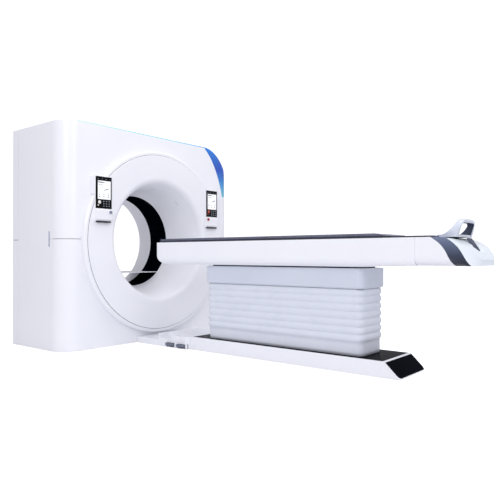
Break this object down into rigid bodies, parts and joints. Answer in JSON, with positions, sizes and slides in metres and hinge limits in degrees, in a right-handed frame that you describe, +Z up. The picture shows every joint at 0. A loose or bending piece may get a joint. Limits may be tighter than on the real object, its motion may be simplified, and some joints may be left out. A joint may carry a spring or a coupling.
{
  "type": "computed tomography scanner",
  "caption": "Wide-bore medical CT scanner: ring gantry with touch panels, and a lifting patient table with sliding cradle.",
  "frame": {"origin": "on the floor, straight below the isocentre", "axes": "+Y along the scan axis from the table into the bore, +X to the right of someone facing the gantry, +Z up"},
  "size_m": [2, 3.787, 1.9],
  "materials": {
    "accent_blue": "gloss blue",
    "base_black": "gloss black",
    "bellows_vinyl": "soft coated fabric",
    "belt_rubber": "matt",
    "button_grey": "matt grey",
    "button_red": "red",
    "carbon_board": "dark woven composite, clear coated",
    "cast_aluminium": "machined casting",
    "copper_ring": "bright tracks",
    "cover_white": "satin moulded cover, painted white",
    "foot_rubber": "matt",
    "frame_steel": "grey powder coat",
    "grip_grey": "matt grey",
    "handle_grey": "satin light grey",
    "laser_glass": "dark gloss",
    "machined_steel": "machined",
    "pad_vinyl": "grey coated fabric",
    "pedal_grey": "ribbed rubber",
    "rail_aluminium": "extruded",
    "screen_glass": "gloss black cover glass",
    "slate": "satin slate",
    "tail_pale": "pale blue-white gloss",
    "tube_metal": "painted housing",
    "window_black": "gloss black X-ray window film"
  },
  "bodies": {
    "base": {"accent_band": "accent_blue", "base_cover": "cover_white", "base_end_plate": "base_black", "base_feet": "foot_rubber", "base_frame": "frame_steel", "base_top_plate": "base_black", "bearing_outer_race": "machined_steel", "bellows": "bellows_vinyl", "bore_floor_tray": "cover_white", "bore_window": "window_black", "brush_block": "frame_steel", "disc_trim_ring": "cover_white", "drive_belt": "belt_rubber", "drive_motor": "frame_steel", "foot_housing": "cover_white", "front_cover_lower": "cover_white", "front_cover_upper": "cover_white", "front_disc": "cover_white", "gantry_feet": "foot_rubber", "gantry_frame": "frame_steel", "laser_windows": "laser_glass", "panel_housing_left": "cover_white", "panel_housing_right": "cover_white", "rear_cover_lower": "cover_white", "rear_cover_upper": "cover_white", "rear_funnel": "cover_white", "side_cover_left": "cover_white", "side_cover_right": "cover_white", "side_grips": "grip_grey", "stator_ring": "cast_aluminium", "top_cover": "cover_white", "touch_screen_left": "screen_glass", "touch_screen_right": "screen_glass", "vent_grilles": "cover_white"},
    "rotor": {"rotor_drum": "cast_aluminium", "slip_ring": "copper_ring", "bearing_inner_race": "machined_steel", "xray_tube": "tube_metal", "collimator": "tube_metal", "hv_generator": "tube_metal", "detector_arc": "cast_aluminium", "heat_exchanger": "tube_metal", "balance_weights": "tube_metal"},
    "table_lift": {"lift_carriage": "frame_steel", "column_cover": "cover_white", "table_trough": "cover_white", "slide_rails": "rail_aluminium", "tail_cover": "cover_white", "tail_band": "slate", "tail_cap": "tail_pale", "tail_tongue": "slate"},
    "cradle": {"cradle_board": "carbon_board", "mattress_pad": "pad_vinyl", "grab_handle": "handle_grey"},
    "pulley": {"motor_pulley": "machined_steel"},
    "pedal_up": {"foot_pedal_up": "pedal_grey"},
    "pedal_down": {"foot_pedal_down": "pedal_grey"},
    "button": {"panel_button_left": "button_grey"},
    "stop_button": {"emergency_stop_right": "button_red"}
  },
  "joints": [
    {"name": "rotor_spin", "type": "hinge", "parent": "base", "child": "rotor", "pos_m": [0, 0, 0.93], "axis": [0, 1, 0], "continuous": true},
    {"name": "pulley_spin", "type": "hinge", "parent": "base", "child": "pulley", "pos_m": [0.85, 0.19, 0.252], "axis": [0, 1, 0], "continuous": true},
    {"name": "table_lift", "type": "slide", "parent": "base", "child": "table_lift", "axis": [0, 0, 1], "range_m": [-0.22, 0.06], "deforming": ["bellows"]},
    {"name": "cradle_slide", "type": "slide", "parent": "table_lift", "child": "cradle", "axis": [0, 1, 0], "range_m": [0, 1.7]},
    {"name": "pedal_up_press", "type": "hinge", "parent": "base", "child": "pedal_up", "pos_m": [-0.2233, -0.88, 0.034], "axis": [0, 1, 0], "range_deg": [-7, 0], "stiffness_Nm_per_rad": 8, "springref_deg": 8.59},
    {"name": "pedal_down_press", "type": "hinge", "parent": "base", "child": "pedal_down", "pos_m": [-0.2233, -1.01, 0.034], "axis": [0, 1, 0], "range_deg": [-7, 0], "stiffness_Nm_per_rad": 8, "springref_deg": 8.59},
    {"name": "button_press", "type": "slide", "parent": "base", "child": "button", "axis": [0, 1, 0], "range_m": [0, 0.004], "stiffness_N_per_m": 600, "springref_m": -0.002},
    {"name": "stop_press", "type": "slide", "parent": "base", "child": "stop_button", "axis": [0, 1, 0], "range_m": [0, 0.004], "stiffness_N_per_m": 900, "springref_m": -0.002}
  ],
  "couplings": [
    {"joint": "pulley_spin", "follows": "rotor_spin", "ratio": 12.417}
  ]
}
